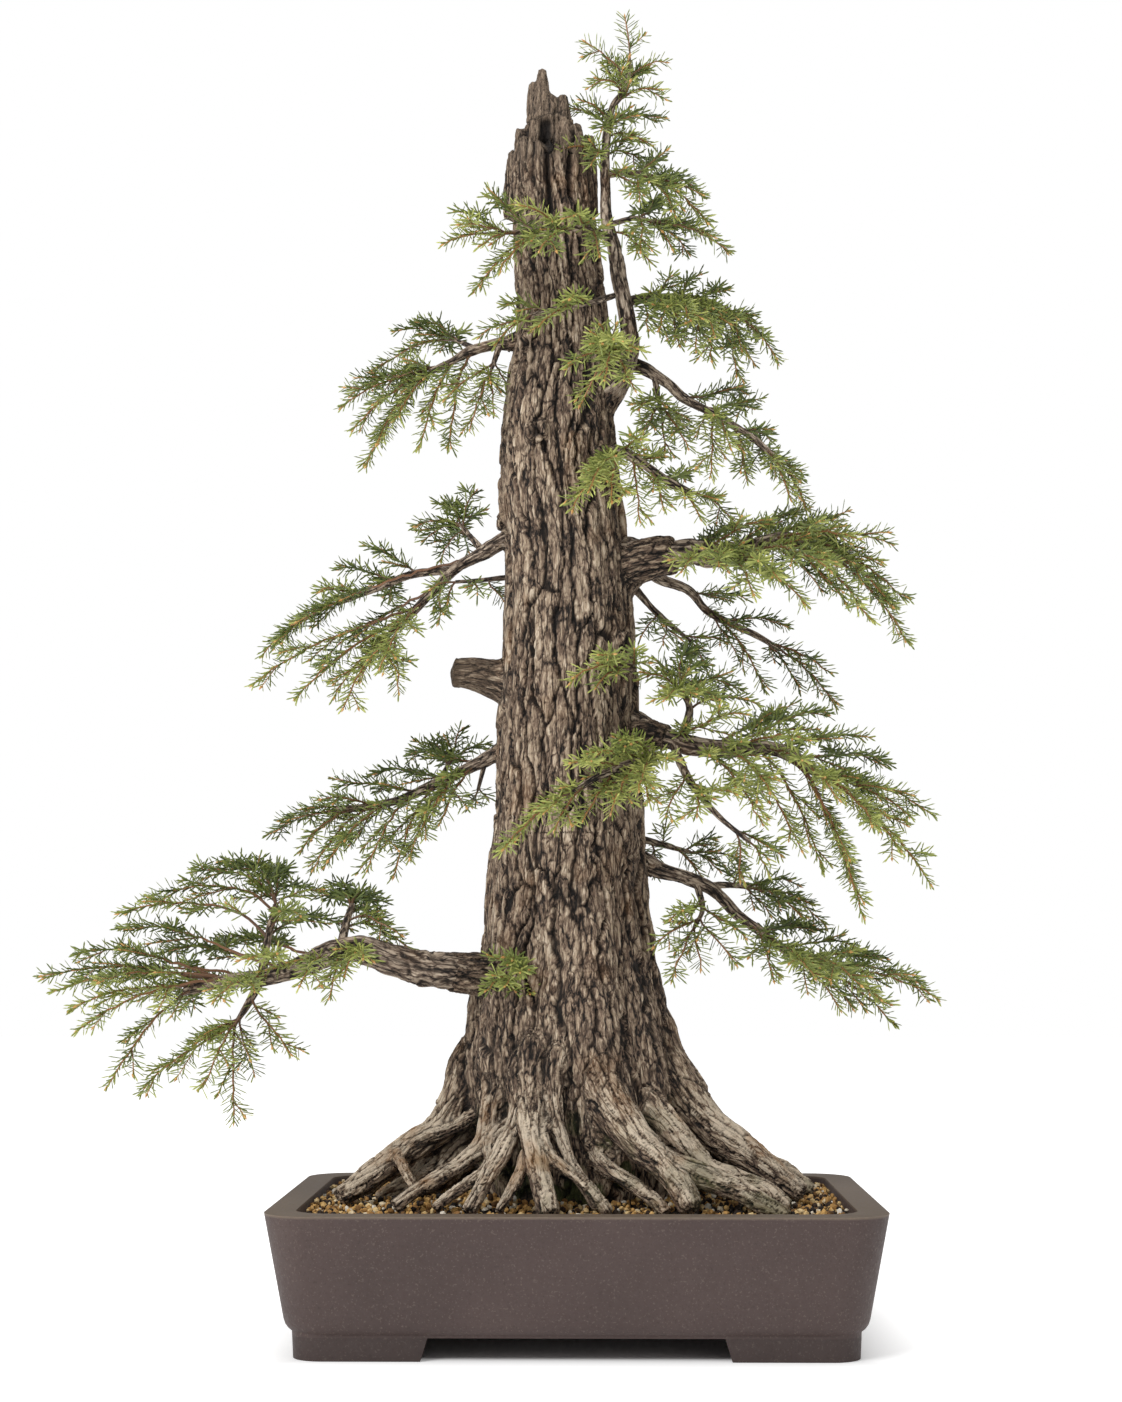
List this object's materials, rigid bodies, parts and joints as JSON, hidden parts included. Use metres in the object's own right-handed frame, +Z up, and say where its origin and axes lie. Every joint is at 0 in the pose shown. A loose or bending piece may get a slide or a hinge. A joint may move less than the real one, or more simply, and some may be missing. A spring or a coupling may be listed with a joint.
{
  "type": "bonsai tree in a pot",
  "caption": "Old conifer bonsai with a broken deadwood top, spreading roots and drooping sprays of short needles, standing in a rectangular stoneware pot on corner feet.",
  "frame": {"origin": "on the floor, under the middle of the whole object's box; the pot's own middle lies to its right and slightly to its front", "axes": "+Z up, along the trunk; +X to the viewer's right along the pot's length; -Y towards the viewer, across the pot"},
  "size_m": [0.6914, 0.3886, 1.0463],
  "materials": {
    "stoneware": "unglazed brown-purple stoneware, matt, fine pale speckles, slightly paler worn rim",
    "screen_mesh": "black plastic mesh",
    "soil_mix": "fired clay granules in gold and tan over dark brown soil",
    "bark": "deeply furrowed grey-brown bark, pale ridges, dark furrows with ochre tints; bleached grey deadwood at the top",
    "branch_bark": "fine scaly dark brown bark, tan on young twigs",
    "needles": "short soft needles, mid to yellow green, satin, with tan buds at the tips"
  },
  "bodies": {
    "root": {"branch_back_high": "branch_bark", "branch_back_low": "branch_bark", "branch_back_middle": "branch_bark", "branch_front_low": "branch_bark", "branch_front_sprig": "branch_bark", "branch_front_upper": "branch_bark", "branch_left_fourth": "branch_bark", "branch_left_second": "branch_bark", "branch_left_third": "branch_bark", "branch_low_left": "branch_bark", "branch_right_behind": "branch_bark", "branch_right_fourth": "branch_bark", "branch_right_low": "branch_bark", "branch_right_second": "branch_bark", "branch_right_third": "branch_bark", "drain_screen_left": "screen_mesh", "drain_screen_right": "screen_mesh", "foliage_back_high": "needles", "foliage_back_low": "needles", "foliage_back_middle": "needles", "foliage_front_low": "needles", "foliage_front_sprig": "needles", "foliage_front_upper": "needles", "foliage_leader": "needles", "foliage_leader_across": "needles", "foliage_leader_crown": "needles", "foliage_leader_right": "needles", "foliage_left_fourth": "needles", "foliage_left_second": "needles", "foliage_left_third": "needles", "foliage_low_left": "needles", "foliage_right_behind": "needles", "foliage_right_fourth": "needles", "foliage_right_low": "needles", "foliage_right_second": "needles", "foliage_right_third": "needles", "leader": "branch_bark", "pot": "stoneware", "soil": "soil_mix", "trunk": "bark"}
  },
  "joints": []
}
